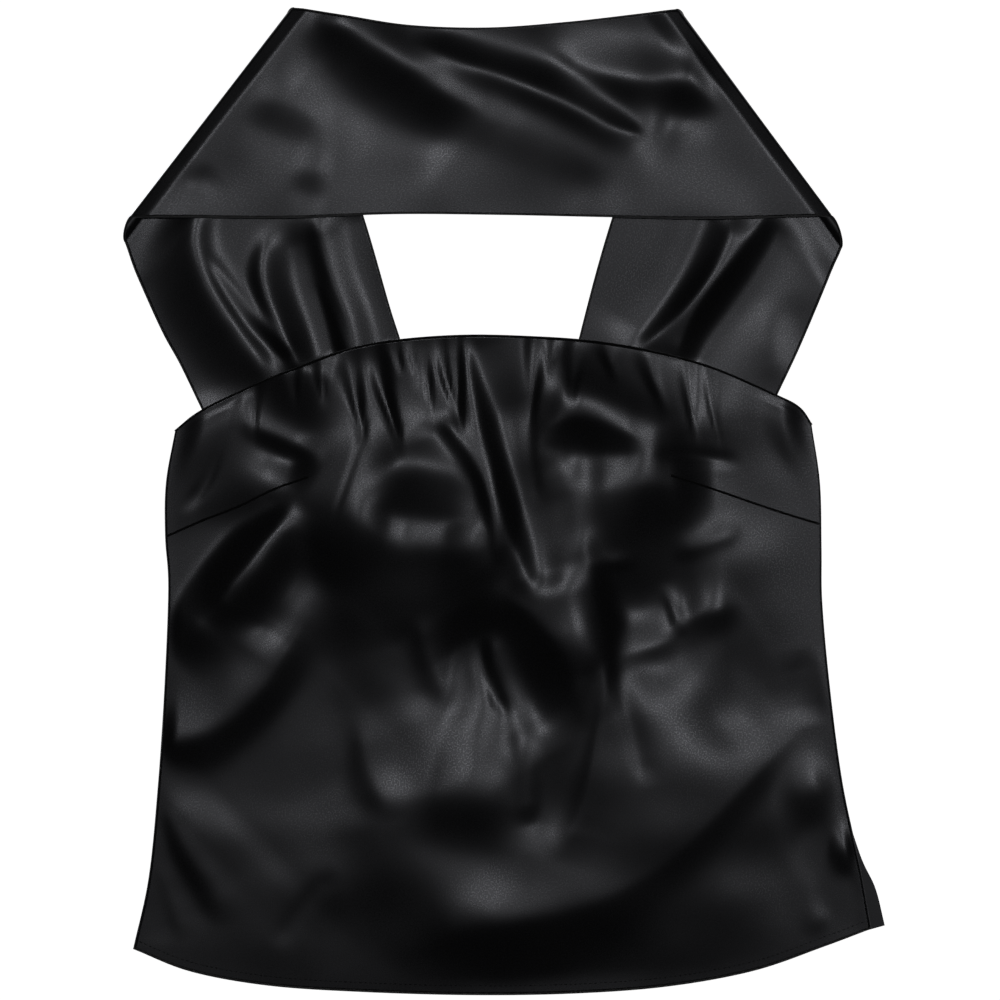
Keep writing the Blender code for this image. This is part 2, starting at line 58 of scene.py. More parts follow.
# %% Camera looking straight down
MM = 0.001
SHIFT_X = -0.4                  # mm; these two bring the outline's middle over the origin
SHIFT_Y = -0.35
VIEW_WIDTH = 0.640              # metres across the picture
CAMERA_HEIGHT = 6.0             # high enough for the view to be nearly without perspective
PHOTO_MIDDLE = (-2.24, 1.28)    # mm; where the middle of the picture falls on the garment
SENSOR = 36.0

camera_data = bpy.data.cameras.new("camera")
camera_data.sensor_width = SENSOR
camera_data.lens = SENSOR * CAMERA_HEIGHT / VIEW_WIDTH
camera = bpy.data.objects.new("camera", camera_data)
camera.location = ((PHOTO_MIDDLE[0] + SHIFT_X) * MM,
                   (PHOTO_MIDDLE[1] + SHIFT_Y) * MM, CAMERA_HEIGHT)
bpy.context.scene.collection.objects.link(camera)
bpy.context.scene.camera = camera
print("lens", round(camera_data.lens, 1), "mm")

# %% Two distant lamps
LAMP_ANGLE = 2.5        # degrees across, as seen from the cloth
LAMP_HEIGHT = 2.0
# name; slope of its light to the right and up the picture; strength
LAMPS = [("softbox_left", -0.07, 0.115, 0.071),
         ("softbox_right", 0.105, 0.075, 0.071)]

for lamp_name, right, up, strength in LAMPS:
    lamp_data = bpy.data.lights.new(lamp_name, "SUN")
    lamp_data.angle = math.radians(LAMP_ANGLE)
    lamp_data.energy = strength
    lamp = bpy.data.objects.new(lamp_name, lamp_data)
    lamp.location = (right, up, LAMP_HEIGHT)
    lamp.rotation_euler = (-math.atan(up), math.atan(right), 0)
    bpy.context.scene.collection.objects.link(lamp)
print("lamps:", [row[0] for row in LAMPS])

# %% [markdown]
# ## A helper for materials
# A material in Blender is a graph of nodes, and even 1 - x is a node of its own.  The graph could
# be clicked together in the shader editor, or built with a line for every node and every link.
# Here a small class wraps a socket, so that a formula reads like one and adds its own nodes.

# %% A node helper
class Sock:
    """A node socket that takes part in Python arithmetic by adding Math nodes."""

    def __init__(self, tree, link):
        self.tree = tree
        self.link = link

    def node(self, kind, settings=None, inputs=None, out=0):
        """Adds a node, sets it up, fills its sockets and wraps one of its outputs."""
        made = self.tree.nodes.new(kind)
        for key, value in (settings or {}).items():
            setattr(made, key, value)
        for key, value in (inputs or {}).items():
            socket = made.inputs[key]
            if isinstance(value, Sock):
                self.tree.links.new(value.link, socket)
            else:
                socket.default_value = value
        return Sock(self.tree, made.outputs[out])

    def maths(self, operation, *values):
        return self.node("ShaderNodeMath", {"operation": operation}, dict(enumerate(values)))

    def __add__(self, other):
        return self.maths("ADD", self, other)

    def __sub__(self, other):
        return self.maths("SUBTRACT", self, other)

    def __rsub__(self, other):
        return self.maths("SUBTRACT", other, self)

    def __mul__(self, other):
        return self.maths("MULTIPLY", self, other)

    __radd__ = __add__
    __rmul__ = __mul__


def new_material(name, solid_view_colour=(0.01, 0.01, 0.011, 1.0)):
    """A material with a Principled shader; returns it, its shader and a root for expressions."""
    material = bpy.data.materials.new(name)
    material.use_nodes = True
    shader = material.node_tree.nodes["Principled BSDF"]
    material.diffuse_color = solid_view_colour
    return material, shader, Sock(material.node_tree, None)


print("sockets can be added, subtracted and multiplied")

# %% [markdown]
# ### The room and the table
# What satin mirrors becomes its colour, so the room is half of the material.  A dark ceiling keeps
# the cloth black, and pale walls low down brighten only the rolled edges.  The table is paper that
# gives a little light of its own: lamps strong enough to make it white would drown the satin.

# %% Room
WALL_TOP = 0.10         # upward part of a direction, up to which the pale walls reach
CEILING_FROM = 0.45     # and from which the dark ceiling is even
WALL_BRIGHT = 0.85
CEILING_BRIGHT = 0.019

world = bpy.data.worlds.new("room")
world.use_nodes = True
bpy.context.scene.world = world
background = world.node_tree.nodes["Background"]
room = Sock(world.node_tree, None)
direction = room.node("ShaderNodeTexCoord", out="Generated")
height = room.node("ShaderNodeSeparateXYZ", inputs={0: direction}, out="Z")
pale = room.node("ShaderNodeMapRange", {"interpolation_type": "SMOOTHSTEP"},
                 {"Value": height, "From Min": WALL_TOP, "From Max": CEILING_FROM,
                  "To Min": WALL_BRIGHT, "To Max": CEILING_BRIGHT})
world.node_tree.links.new(pale.link, background.inputs["Color"])
print("walls", WALL_BRIGHT, "and ceiling", CEILING_BRIGHT)

# %% Floor
FLOOR_HALF = 12.0       # metres
FLOOR_DROP = 0.0006     # below the cloth, so that the two never share a plane
PAPER_WHITE = 0.85
PAPER_ROUGH = 0.9
PAPER_GLOW = 0.97       # light that the paper gives by itself

floor_mesh = bpy.data.meshes.new("floor")
bm = bmesh.new()
bmesh.ops.create_grid(bm, x_segments=1, y_segments=1, size=FLOOR_HALF)
bmesh.ops.translate(bm, verts=bm.verts, vec=(0, 0, -FLOOR_DROP))
bm.to_mesh(floor_mesh)
bm.free()
floor = bpy.data.objects.new("floor", floor_mesh)
bpy.context.scene.collection.objects.link(floor)
paper, paper_shader, _ = new_material("pale_paper")
paper_shader.inputs["Base Color"].default_value = (PAPER_WHITE, PAPER_WHITE, PAPER_WHITE, 1)
paper_shader.inputs["Roughness"].default_value = PAPER_ROUGH
paper_shader.inputs["Specular IOR Level"].default_value = 0.0
paper_shader.inputs["Emission Color"].default_value = (1, 1, 1, 1)
paper_shader.inputs["Emission Strength"].default_value = PAPER_GLOW
floor_mesh.materials.append(paper)
bpy.context.scene.view_settings.view_transform = "Standard"
print("floor", 2 * FLOOR_HALF, "m across, just under the cloth")

# %% [markdown]
# ## The outlines
# On the real top these are the sewn edges.  They could be traced as Bezier curves by eye; points
# in millimetres are easier to put right.  Every outline is a few of them, joined by a smooth line:
# the garment's edge in the photo, at its real size.

# %% Outlines
TOP_EDGE = [(-210, 46), (-193, 59), (-158, 76), (-133, 86), (-100, 98), (-68, 104), (-25, 107),
            (20, 106), (60, 103), (100, 96), (135, 86), (174, 69), (189, 61), (197, 50)]
LEFT_SIDE = [(-210, 46), (-216, 12), (-216.5, -22), (-214.5, -55), (-217, -120), (-221, -180),
             (-227, -240), (-237, -286)]
RIGHT_SIDE = [(197, 50), (202.5, 12), (203.5, -30), (204, -65), (209, -120), (217, -180),
              (228, -232), (235.5, -273)]
HEM = [(-237, -286), (-200, -300.5), (-150, -309.5), (-90, -313.5), (-20, -315.5), (45, -314.5),
       (105, -310), (160, -300), (205, -284.5), (235.5, -273)]
BACK_RIGHT = [(196, 40), (201, 5), (201, -60), (206, -120), (215, -180), (228, -225), (238, -247),
              (244, -271)]
BACK_HEM_LEFT = (-233, -284)
BACK_HEM_RIGHT = [(235, -273.5), (244, -271)]
BAND_TOP = [(-128, 315.5), (-100, 311), (-60, 305), (-10, 303.5), (40, 307), (85, 312),
            (105, 314.5)]
BAND_BOTTOM = [(-231, 182), (-200, 182), (-140, 181.5), (-70, 184), (0, 183.5), (70, 182),
               (130, 181), (203, 182.8)]
LEFT_TURN = [(-245, 168), (-140, 308)]
LEFT_TURN_TOP = [(-240, 184), (-136, 318)]
RIGHT_TURN = [(219, 164), (117, 308)]
RIGHT_TURN_TOP = [(212, 184), (112.5, 317)]
LEFT_OUTER = [(-187, 48), (-193, 59), (-207, 88), (-219, 110), (-236, 148), (-244, 168)]
LEFT_INNER = [(-63, 92), (-66, 104), (-73, 126), (-88, 178), (-110, 245), (-131, 309)]
RIGHT_OUTER = [(170, 56), (175, 68), (190, 100), (208, 143), (213, 157), (217, 168)]
RIGHT_INNER = [(45, 92), (48, 104), (60, 150), (72, 190), (92, 252), (110, 311)]

print("hem", HEM[-1][0] - HEM[0][0], "mm wide, whole top", BAND_TOP[0][1] - HEM[4][1], "mm long")

# %% [markdown]
# ## The folds
# A fold in flat-lying satin is either a slope, which steps down from one level to the next, or a
# ridge.  Each row places one of them along a short line, so that the folds can be read and moved
# one by one.

# %% Front folds
# name; softness of the crest and of the foot; share of the step that stands above the cloth
# about it; how far the high and the low level reach; length over which each end dies away;
# then x, y, half width and steepness along the slope.  The high side is on the left of travel.
FRONT_SLOPES = [
    ("bust_foot", .12, .45, .5, 42, 90, 70, 30,
     [(-130, -40, 37, .07), (-108, -48, 37, .09), (-88, -53, 31, .11), (-70, -57, 26, .12),
      (-45, -58, 26, .13), (-12, -62, 27, .12)]),
    ("bust_pocket", .2, .15, .5, 26, 40, 24, 36,
     [(-80, 7, 13, .11), (-60, 7, 16, .14), (-36, 3, 15, .14), (-18, -3, 8, .11)]),
    ("crest_side", .2, .4, .5, 12, 30, 20, 20,
     [(22, -55, 5, .18), (13, -28, 6, .22), (5, -2, 5.5, .24), (-2, 25, 5.5, .24),
      (-10, 52, 6, .24), (-17, 78, 4, .2), (-24, 104, 3, .14)]),
    ("crest_dip", .2, .5, .5, 9, 20, 14, 14,
     [(-42, 50, 4, .16), (-28, 31, 4.5, .2), (-15, 9, 3, .22), (-9, -12, 2.2, .2),
      (-6, -36, 2, .16)]),
    ("over_arch", .2, .6, .5, 30, 50, 50, 50,
     [(124, 62, 12, .11), (104, 68, 17, .14), (84, 77, 17, .16), (64, 84, 16, .17),
      (46, 86, 16, .17), (28, 84, 14, .14)]),
    ("under_arch", .12, .2, .5, 18, 36, 16, 16,
     [(27, 42, 6, .10), (45, 43, 11, .12), (62, 41, 10, .12), (84, 36, 5, .10)]),
    ("right_bust", .10, .2, .5, 34, 40, 34, 30,
     [(52, -28, 33, .07), (74, -30, 36, .10), (100, -27, 36, .10), (124, -24, 31, .08)]),
    ("right_step", .2, .5, .5, 20, 34, 30, 26,
     [(82, -102, 5, .08), (104, -96, 6, .11), (122, -82, 7, .12), (146, -73, 6, .12)]),
    ("right_patch", .6, .6, .5, 30, 40, 30, 30,
     [(118, -134, 8, .05), (140, -116, 12, .07), (166, -98, 12, .05)]),
    ("deep_hollow", .14, .4, .4, 48, 44, 26, 30,
     [(-6, -66, 10, .14), (6, -81, 13, .17), (20, -100, 15, .18), (32, -119, 15, .18),
      (41, -139, 10, .14)]),
    ("low_valley", .2, .9, .5, 24, 30, 20, 24,
     [(63, -106, 2.5, .16), (60, -126, 3.5, .18), (56, -150, 4, .18), (50, -174, 5.5, .16),
      (42, -198, 7, .14), (33, -219, 6, .09)]),
    ("belly_dip", .4, .5, .5, 40, 40, 40, 40,
     [(-62, -201, 11, .08), (-42, -203, 13, .11), (-18, -208, 13, .10), (5, -211, 11, .08)]),
    ("belly_crease", .4, .8, .5, 16, 26, 26, 20,
     [(-97, -146, 4, .06), (-93, -174, 5, .09), (-82, -198, 5, .09)]),
    ("short_crease", .3, .6, .5, 12, 22, 18, 22,
     [(-57, -80, 3, .12), (-54, -102, 5, .13), (-44, -128, 5, .09)]),
    ("diagonal_flank", .16, .5, .5, 28, 70, 50, 40,
     [(-46, -296, 11, .06), (-20, -290, 15, .09), (10, -287, 16, .10), (40, -280, 16, .09),
      (74, -264, 12, .07), (104, -242, 8, .06), (129, -219, 7, .06), (156, -190, 6, .06),
      (192, -150, 5, .04)]),
    ("side_flank", .18, .5, .5, 24, 70, 30, 40,
     [(-216, -168, 11, .13), (-190, -162, 11, .15), (-165, -147, 11, .15), (-145, -124, 10, .15),
      (-128, -98, 11, .14), (-116, -74, 12, .13)]),
    ("side_wedge", .2, .4, .5, 14, 26, 20, 20,
     [(-172, -78, 10, .10), (-160, -62, 15, .14), (-140, -32, 12, .14), (-130, -14, 5, .12)]),
    ("side_hollow", .25, .4, .6, 22, 20, 16, 30,
     [(-138, -1, 3, .14), (-150, -12, 6, .16), (-170, -32, 12, .16), (-194, -54, 14, .14),
      (-216, -76, 14, .12)]),
    ("hem_crease_a", .5, .4, .5, 14, 26, 20, 20,
     [(-220, -198, 2.5, .10), (-210, -224, 4, .13), (-198, -244, 5, .13), (-186, -266, 4, .07)]),
    ("hem_crease_b", .5, .4, .5, 10, 18, 16, 16,
     [(-223, -236, 2, .10), (-217, -256, 3, .12), (-211, -276, 3, .09)]),
    ("edge_dent", .5, .5, .5, 18, 18, 16, 16,
     [(199, -98, 5, .06), (203, -118, 7, .11), (207, -134, 6, .11)]),
    ("side_dent", .6, .6, .5, 22, 22, 20, 20,
     [(184, -206, 12, .08), (198, -204, 15, .12), (212, -200, 12, .10)]),
    ("corner_dent", .5, .5, .5, 18, 18, 18, 14,
     [(203, -238, 10, .10), (214, -239, 13, .18), (226, -238, 11, .16)]),
    ("hem_dent", .6, .6, .5, 14, 14, 16, 14,
     [(196, -278, 5, .06), (214, -272, 6, .10), (230, -266, 5, .08)]),
    ("shoulder_hollow", .3, .5, .5, 14, 30, 26, 46,
     [(-156, 71, 9, .09), (-140, 66, 16, .13), (-124, 63, 19, .13), (-108, 62, 12, .08)]),
    ("under_streak", .2, .3, .5, 10, 18, 24, 20,
     [(-163, 45, 4, .14), (-145, 36, 5, .18), (-124, 27, 4, .16)]),
]

# name, height (negative for a crease), width to the left and right of travel, points
FRONT_RIDGES = [
    ("belly_rise", 1.6, 80, 60,
     [(-50, -262), (-20, -268), (15, -264), (70, -246), (116, -212), (150, -176)]),
    ("sliver", -0.6, 5, 4.5, [(-15, -88), (-12, -106), (-5, -124), (0, -134)]),
    ("long_crest", 0.6, 9, 8, [(-10, -88), (0, -112), (8, -136), (14, -165), (16, -200)]),
    ("right_crease", -0.35, 7, 6, [(70, -84), (75, -118), (84, -150), (91, -176)]),
    ("right_crest", 1.8, 12, 30, [(46, -14), (49, -31), (54, -48), (60, -72), (66, -96)]),
    ("arch_foot", 2.0, 15, 20, [(25, 48), (30, 34), (36, 18), (43, 0)]),
    ("bright_sliver", 0.3, 6, 4, [(58, -39), (69, -39), (80, -38)]),
    ("bright_patch", 0.4, 9, 6, [(112, -31), (128, -27), (148, -19)]),
    ("small_crest", 0.5, 5, 4, [(105, -58), (109, -68), (113, -80)]),
    ("left_tuck", -0.65, 4.5, 3.5, [(-170, 70), (-179, 58), (-185, 38), (-190, 16), (-201, -1)]),
    ("dart_dent", -0.35, 5, 4, [(103, 30), (124, 29), (146, 26)]),
    ("centre_crease", -0.25, 4, 4, [(18, 108), (16, 72), (17, 40), (21, 4)]),
    ("press_line", -0.14, 1.8, 1.8, [(-86, 57), (-96, 25), (-107, -6)]),
    ("hem_line_a", -0.25, 7, 6, [(-112, -240), (-128, -258), (-143, -280)]),
]

# wave length, direction in degrees, lag, height
SWELL = [(150, 20, 0.4, 0.30), (118, 74, 2.1, 0.26), (93, 128, 4.0, 0.20), (71, 165, 1.2, 0.14),
         (57, 47, 5.2, 0.10), (43, 98, 3.3, 0.06)]

# x at the edge, length, half width, depth, sideways drift of the foot
GATHERS = [
    (-160, 30, 5, 0.9, 1), (-134, 20, 4, 0.8, 1), (-117, 24, 6, 1.2, 2), (-98, 48, 8, 1.7, 7),
    (-83, 54, 8, 2.1, 14), (-69, 16, 5, 0.9, 3), (-59, 24, 5, 1.0, 4), (-51, 40, 6, 1.1, 4),
    (-41, 44, 6, 1.7, 9), (-30, 52, 5, 1.5, 2), (22, 46, 7, 1.2, -4), (33, 20, 5, 0.9, -3),
    (46, 34, 9, 1.4, -2), (66, 18, 7, 1.0, 4), (92, 30, 8, 1.0, 9), (116, 40, 5, 0.7, 6),
    (130, 44, 4, 0.6, 8),
]

print(len(FRONT_SLOPES), "slopes,", len(FRONT_RIDGES), "ridges,", len(GATHERS), "gathers")

# %% [markdown]
# ### The strip's folds
# The strip lies wide and slack where it crosses above the front, so its folds are few and long and
# lean one way.  Down the straps it is squeezed towards the gathered edge, and they are steep and
# run lengthwise.  The same kind of row places them all.

# %% Strip folds
BAND_SLOPES = [
    ("under_ridge", .16, .5, .5, 20, 40, 24, 40,
     [(-122, 301, 8, .13), (-105, 290, 13, .15), (-85, 274, 15, .16), (-65, 261, 15, .16),
      (-45, 249, 13, .14), (-18, 240, 9, .07)]),
    ("under_tail", .5, .6, .5, 20, 30, 30, 24,
     [(-22, 236, 8, .05), (10, 228, 9, .07), (40, 217, 8, .06), (62, 207, 6, .05)]),
    ("over_ridge", .18, .3, .5, 12, 24, 14, 26,
     [(88, 237, 2.5, .14), (72, 246, 6.5, .18), (52, 259, 8, .19), (30, 271, 9, .19),
      (5, 281, 9, .18), (-20, 289, 9, .16), (-48, 297, 6, .12)]),
    ("upper_dark", .2, .4, .5, 16, 26, 34, 34,
     [(112, 279, 8, .10), (86, 283, 12, .12), (60, 289, 12, .12), (34, 298, 8, .10)]),
    ("end_dark", .3, .4, .5, 20, 26, 24, 24,
     [(102, 262, 8, .10), (115, 257, 10, .13), (131, 251, 5, .10)]),
    ("left_dip", .5, .5, .5, 16, 20, 20, 20,
     [(-160, 249, 6, .06), (-140, 244, 8, .08), (-120, 237, 6, .05)]),
    ("low_dip", .5, .5, .5, 14, 14, 16, 16, [(-134, 206, 5, .05), (-116, 203, 6, .07)]),
    ("end_dip", .5, .5, .5, 12, 14, 14, 14, [(-206, 208, 6, .07), (-194, 217, 6, .07)]),
]
STRAP_SLOPES = [
    ("outer_dark", .14, .8, .5, 12, 60, 24, 30,
     [(-212, 186, 13, .10), (-213, 160, 14, .13), (-205, 134, 15, .14), (-190, 108, 16, .14),
      (-172, 86, 13, .13), (-160, 70, 9, .08)]),
    ("first_dip", .3, .3, .5, 6, 10, 14, 14,
     [(-187, 152, 1.5, .12), (-172, 130, 3, .16), (-158, 112, 3.5, .18), (-138, 93, 2.5, .16)]),
    ("mid_dark", .16, .3, .5, 8, 22, 14, 20,
     [(-124, 86, 6, .17), (-131, 108, 8, .18), (-140, 132, 10, .17), (-144, 150, 10, .15),
      (-144, 170, 7, .10)]),
    ("third_dip", .3, .3, .5, 6, 10, 14, 14,
     [(-118, 138, 1.5, .12), (-111, 116, 3, .16), (-104, 92, 3.5, .16)]),
    ("inner_dark", .2, .3, .5, 8, 20, 20, 20,
     [(-84, 88, 7, .13), (-91, 118, 7, .14), (-103, 150, 8, .13), (-110, 184, 9, .11)]),
    ("right_rise", .16, .3, .5, 10, 24, 20, 20,
     [(140, 184, 9, .15), (125, 150, 8, .17), (109, 126, 6, .18), (86, 100, 3.5, .16)]),
    ("right_fall", .16, .3, .5, 10, 24, 20, 20,
     [(114, 88, 6, .15), (125, 110, 7, .17), (138, 129, 8, .17), (155, 152, 7, .17),
      (175, 184, 6, .15)]),
    ("right_dip", .6, .6, .5, 14, 20, 20, 20,
     [(186, 82, 6, .05), (180, 104, 7, .06), (176, 124, 6, .04)]),
]

print(len(BAND_SLOPES) + len(STRAP_SLOPES), "folds on the strip")

# %% [markdown]
# ## From rows to heights
# Folds could be sculpted with a brush or left to a cloth simulation, but neither can be read or
# put right afterwards.  Here each row becomes a height above the table for every point of the
# cloth.  First come the lines: a curve that passes through a row's few points, and an easing that
# starts and ends level, because a fold has no corner where it begins.

# %% Lines through points
def smooth(t):
    """Ease from 0 to 1 with level ends."""
    t = np.clip(t, 0.0, 1.0)
    return t * t * (3.0 - 2.0 * t)


def curve(points, steps=8):
    """A smooth line through the points."""
    p = np.array(points, float)
    p = np.vstack([2 * p[0] - p[1], p, 2 * p[-1] - p[-2]])
    out = []
    for i in range(1, len(p) - 2):
        for t in np.linspace(0, 1, steps, endpoint=False):
            a = 2 * p[i]
            b = p[i + 1] - p[i - 1]
            c = 2 * p[i - 1] - 5 * p[i] + 4 * p[i + 1] - p[i + 2]
            d = 3 * p[i] - p[i - 1] - 3 * p[i + 1] + p[i + 2]
            out.append((a + b * t + c * t * t + d * t ** 3) / 2)
    out.append(p[-2])
    return np.array(out)


def along(points, fractions):
    """Points at the given fractions of the smooth line's length."""
    c = curve(points)
    run = np.concatenate([[0], np.cumsum(np.hypot(*np.diff(c, axis=0).T))])
    run /= run[-1]
    return np.stack([np.interp(fractions, run, c[:, k]) for k in (0, 1)], axis=-1)


hem_length = float(np.hypot(*np.diff(curve(HEM), axis=0).T).sum())
print("hem line", round(hem_length), "mm long")

# %% [markdown]
# ### Along and across a fold
# A fold's line is bent, and each point of the cloth needs to know how far along and how far
# beside the line it lies.  The nearest point could be searched for; it is simpler to lay a
# straight axis from end to end and to measure sideways from the bent line, run out past both ends.

# %% Along and across a fold
RUN_OUT = 60.0          # mm that a fold's line is carried on beyond its ends
RUN_STRAIGHT = 0.6      # share of its last direction that it keeps there
EVEN_REACH = 9          # mm on either side over which a line's corners are rounded


def even_out(values):
    """A running mean that rounds the corners of a list of values one millimetre apart."""
    weight = np.hanning(2 * EVEN_REACH + 3)[1:-1]
    padded = np.pad(values, EVEN_REACH, mode="reflect", reflect_type="odd")
    return np.convolve(padded, weight / weight.sum(), mode="valid")


def fold_frame(x, y, points):
    """Distances along and across a fold line, where its own points lie along it, its length."""
    p = np.array(points, float)
    length = math.hypot(*(p[-1] - p[0]))
    e = (p[-1] - p[0]) / length
    n = np.array([-e[1], e[0]])
    u = (x - p[0][0]) * e[0] + (y - p[0][1]) * e[1]
    v = (x - p[0][0]) * n[0] + (y - p[0][1]) * n[1]
    c = curve(points)
    cu = (c - p[0]) @ e
    cv = (c - p[0]) @ n
    start = (cv[4] - cv[0]) / (cu[4] - cu[0])
    end = (cv[-1] - cv[-5]) / (cu[-1] - cu[-5])
    steps = np.arange(-RUN_OUT, length + RUN_OUT, 1.0)
    beyond = np.minimum(steps, 0) * start + np.maximum(steps - length, 0) * end
    middle = even_out(np.interp(steps, cu, cv) + RUN_STRAIGHT * beyond)
    lean = np.interp(u, steps, np.gradient(middle))
    across = (v - np.interp(u, steps, middle)) / np.sqrt(1 + lean ** 2)
    return u, across, (p - p[0]) @ e, length


def read_along(u, stops, values, length):
    """Values given at stops along a fold, rounded where they change."""
    steps = np.arange(-RUN_OUT, length + RUN_OUT, 1.0)
    return np.interp(u, steps, even_out(np.interp(steps, stops, values)))


def fade(u, length, start, end):
    """One along the fold, easing out past both its ends."""
    return smooth(0.5 + u / start) * smooth(0.5 + (length - u) / end)


print("a fold of 100 mm, read at its start, middle and end:",
      fade(np.array([0.0, 50.0, 100.0]), 100.0, 20.0, 20.0))

# %% [markdown]
# ### Slopes and ridges
# In the photo one edge of a fold is sharp and the other one melts away.  So a slope is a straight
# ramp whose crest and foot are rounded apart from each other, and past them the step fades back to
# the level of the cloth about it.  A ridge is a bell curve with two widths.

# %% Slopes and ridges
RIDGE_END = 16.0        # mm; a ridge fades over this much at least,
RIDGE_END_BY_HEIGHT = 22.0      # or over this many times its height


def softplus(t):
    """Zero for low t, t for high t, with a rounded corner between."""
    return np.logaddexp(0, np.clip(t, -60, 60))


def slope_height(x, y, row):
    """A slope between two levels, its crest and its foot rounded by their own softness."""
    name, crest, foot, share, high, low, start, end, line = row
    u, across, stops, length = fold_frame(x, y, [p[:2] for p in line])
    width = read_along(u, stops, [p[2] for p in line], length)
    steep = read_along(u, stops, [p[3] for p in line], length)
    t = across / width
    ramp = foot * softplus((t + 1) / foot) - crest * softplus((t - 1) / crest) - 2 * (1 - share)
    beyond = np.maximum(np.abs(across) - width, 0)
    reach = np.where(across > 0, high, low)
    return steep * width * ramp * np.exp(-(beyond / reach) ** 2) * fade(u, length, start, end)


def ridge_height(x, y, row, end=None):
    """A rounded crest, or a crease where the height is negative."""
    name, height, left, right, points = row
    u, across, stops, length = fold_frame(x, y, points)
    width = np.where(across > 0, left, right)
    end = end or max(RIDGE_END, RIDGE_END_BY_HEIGHT * abs(height), left)
    profile = np.exp(-(across / width) ** 2)
    return height * profile * fade(u, length, end, end)


def folds(x, y, slopes, ridges=()):
    """The sum of the slopes and ridges in the tables."""
    z = np.zeros(np.shape(x))
    for row in slopes:
        z = z + slope_height(x, y, row)
    for row in ridges:
        z = z + ridge_height(x, y, row)
    return z


def keep_above(z, level, soft):
    """Lift z smoothly so that it never goes below the level."""
    return level + soft * softplus((z - level) / soft)


print("corners rounded by softplus:", softplus(np.array([-2.0, 0.0, 2.0])).round(2))

# %% [markdown]
# ## The middle of each cloth
# The folds are laid over a simple form: a front that swells a little between its seams, straps
# that lie on the table, and a band that rests on the two turns of the strip.  Pieces may not pass
# through each other, so the front is kept above the straps that are tucked behind it, and every
# cloth above the table.  One height for each point is enough, as no fold here hangs over.

# %% Distances and slack
def sides(x, y):
    """Distances to the left side, right side, hem and top edge of the front."""
    left, right, hem, top = (curve(c) for c in (LEFT_SIDE, RIGHT_SIDE, HEM, TOP_EDGE))
    return (x - np.interp(-y, -left[:, 1], left[:, 0]),
            np.interp(-y, -right[:, 1], right[:, 0]) - x,
            y - np.interp(x, hem[:, 0], hem[:, 1]),
            np.interp(x, top[:, 0], top[:, 1]) - y)


def swell(x, y):
    """Slow unevenness of slack cloth: a few long waves that cross at odd angles."""
    z = np.zeros(np.shape(x))
    for length, turn, lag, height in SWELL:
        a = math.radians(turn)
        z = z + height * np.sin(2 * math.pi * (x * math.cos(a) + y * math.sin(a)) / length + lag)
    return z


print("slack cloth at the middle", swell(np.zeros(1), np.zeros(1)).round(2), "mm")

# %% Strap surface
WALL = 1.2              # mm; thickness of each solid
TURN_RADIUS = 2.9       # of the strip's middle where it turns back on itself
STRAP_LIFT = 1.5        # how far a strap's middle floats above its lowest place
STRAP_RISE = 26.0       # distance from the turn over which it gets there
STRAP_FOLDS = 34.0      # distance from the turn over which its folds begin
STRAP_FOLDS_TOP = 212.0         # above this y no fold is left,
STRAP_FOLDS_FADE = 26.0         # and they fade over this much below it
TUCK = 7.0              # from the front's top edge, where a strap comes down to the table
REST_LIFT = 0.1         # what keeps a strap just off the table
REST_SOFT = 0.25        # roundness of the cloth where it meets what it lies on


def strap_height(x, y, from_turn):
    """Middle surface of either strap."""
    to_top = sides(x, y)[3]
    z = folds(x, y, STRAP_SLOPES)
    z = z * smooth(from_turn / STRAP_FOLDS) * smooth((STRAP_FOLDS_TOP - y) / STRAP_FOLDS_FADE)
    lift = STRAP_LIFT * smooth(from_turn / STRAP_RISE)
    floor_level = -lift * (1 - smooth(to_top / TUCK))
    z = keep_above(z, floor_level + REST_LIFT, REST_SOFT)
    return WALL / 2 + lift + z - REST_LIFT * smooth(1 - from_turn / STRAP_RISE)


print("strap folds end at y =", STRAP_FOLDS_TOP, "mm")

# %% Band surface
BAND_RISE = 0.9         # rise of the band's middle above its turned ends,
BAND_RISE_OVER = 8.0    # within this distance from them
BAND_FOLDS = 20.0       # its folds begin over this distance from them
BAND_SAG = 1.2          # how far the band sags between the two straps that carry it,
SAG_LEFT = -105.0       # from here
SAG_RIGHT = 88.0        # to here,
SAG_EASE = 60.0         # reaching its depth over this much at either side
SAG_FROM_TURN = 30.0    # and only this far from the turns
BAND_SLACK = 0.7        # share of the front's slack that the band has
BAND_SLACK_SHIFT = 40.0         # and how far aside it is taken, so that it doesn't repeat
BAND_SLACK_OVER = 40.0  # distance from the turns over which it begins
BAND_LOWEST = 4.2       # just above the straps that pass under it


def band_height(x, y, from_turn):
    """Middle surface of the crossing band."""
    z = folds(x, y, BAND_SLOPES) * smooth(from_turn / BAND_FOLDS)
    sag = BAND_SAG * smooth((x - SAG_LEFT) / SAG_EASE) * smooth((SAG_RIGHT - x) / SAG_EASE)
    level = WALL / 2 + 2 * TURN_RADIUS + BAND_RISE * smooth(from_turn / BAND_RISE_OVER)
    z = z + BAND_SLACK * swell(x + BAND_SLACK_SHIFT, y) * smooth(from_turn / BAND_SLACK_OVER)
    return keep_above(level - sag * smooth(from_turn / SAG_FROM_TURN) + z, BAND_LOWEST,
                      2 * REST_SOFT)


print("band over its turns at", WALL / 2 + 2 * TURN_RADIUS + BAND_RISE, "mm")

